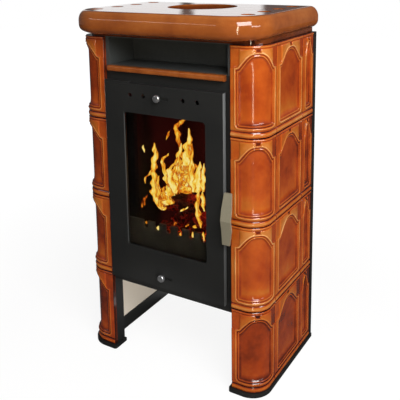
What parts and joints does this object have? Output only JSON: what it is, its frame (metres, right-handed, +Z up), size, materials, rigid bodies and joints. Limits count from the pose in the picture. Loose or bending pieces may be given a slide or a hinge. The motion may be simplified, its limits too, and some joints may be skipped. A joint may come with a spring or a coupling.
{
  "type": "tiled stove",
  "caption": "Wood stove with a steel firebox, a glazed door and a warming niche between two walls of brown ogee-panelled tiles, under a thick glazed slab with vents.",
  "frame": {"origin": "on the floor, under the middle of the stove's bounding box", "axes": "+X to the stove's right as seen from the front, -Y to the front (the door), +Z up"},
  "size_m": [0.554, 0.385, 0.958],
  "materials": {
    "glazed_tile": "glossy honey-brown glaze, amber where it is thin on the ridges",
    "glazed_slab": "glossy dark brown glaze",
    "shelf_ceramic": "glossy brown glaze",
    "black_steel": "matt black heat-resistant paint",
    "liner": "cream calcium silicate board",
    "firebrick": "sooty vermiculite",
    "cast_iron": "matt cast iron",
    "firewood": "charred split wood",
    "door_glass": "clear ceramic glass",
    "rope": "grey braided fibre rope",
    "bright_steel": "satin steel",
    "zinc_steel": "zinc-plated steel"
  },
  "bodies": {
    "stove": {"ash_pan": "black_steel", "baffle_plate": "firebrick", "firebox_shell": "black_steel", "firebrick_back": "firebrick", "firebrick_left": "firebrick", "firebrick_right": "firebrick", "firewood": "firewood", "flue_spigot": "black_steel", "frame_screws": "zinc_steel", "front_plate": "black_steel", "grate": "cast_iron", "hinge_brackets": "black_steel", "latch_striker": "black_steel", "liner_board_left": "liner", "liner_board_right": "liner", "log_guard": "cast_iron", "niche_casing": "black_steel", "plinth_left": "black_steel", "plinth_right": "black_steel", "rear_panel": "black_steel", "shelf_edge": "shelf_ceramic", "side_frame_left": "black_steel", "side_frame_right": "black_steel", "tile_row1_corner_left": "glazed_tile", "tile_row1_corner_right": "glazed_tile", "tile_row1_full_left": "glazed_tile", "tile_row1_full_right": "glazed_tile", "tile_row1_half_left": "glazed_tile", "tile_row1_half_right": "glazed_tile", "tile_row2_corner_left": "glazed_tile", "tile_row2_corner_right": "glazed_tile", "tile_row2_full_left": "glazed_tile", "tile_row2_full_right": "glazed_tile", "tile_row2_half_left": "glazed_tile", "tile_row2_half_right": "glazed_tile", "tile_row3_corner_left": "glazed_tile", "tile_row3_corner_right": "glazed_tile", "tile_row3_full_left": "glazed_tile", "tile_row3_full_right": "glazed_tile", "tile_row3_half_left": "glazed_tile", "tile_row3_half_right": "glazed_tile", "tile_row4_corner_left": "glazed_tile", "tile_row4_corner_right": "glazed_tile", "tile_row4_full_left": "glazed_tile", "tile_row4_full_right": "glazed_tile", "tile_row4_half_left": "glazed_tile", "tile_row4_half_right": "glazed_tile", "top_slab": "glazed_slab"},
    "door": {"door_plate": "black_steel", "door_glass": "door_glass", "glass_retainers": "black_steel", "retainer_screws": "zinc_steel", "rope_seal": "rope", "latch_lugs": "black_steel"},
    "latch": {"door_handle": "bright_steel", "latch_hook": "black_steel"},
    "upper_air": {"upper_air_slide": "black_steel", "upper_air_knob": "bright_steel"},
    "lower_air": {"lower_air_slide": "black_steel", "lower_air_knob": "bright_steel"}
  },
  "joints": [
    {"name": "door_hinge", "type": "hinge", "parent": "stove", "child": "door", "pos_m": [-0.175, -0.145, 0.495], "axis": [0, 0, 1], "range_deg": [-105, 0]},
    {"name": "door_latch", "type": "hinge", "parent": "door", "child": "latch", "pos_m": [0.179, -0.1415, 0.468], "axis": [0, 0, 1], "range_deg": [0, 16]},
    {"name": "upper_air_control", "type": "slide", "parent": "door", "child": "upper_air", "axis": [1, 0, 0], "range_m": [0, 0.026]},
    {"name": "lower_air_control", "type": "slide", "parent": "door", "child": "lower_air", "axis": [1, 0, 0], "range_m": [0, 0.026]}
  ]
}
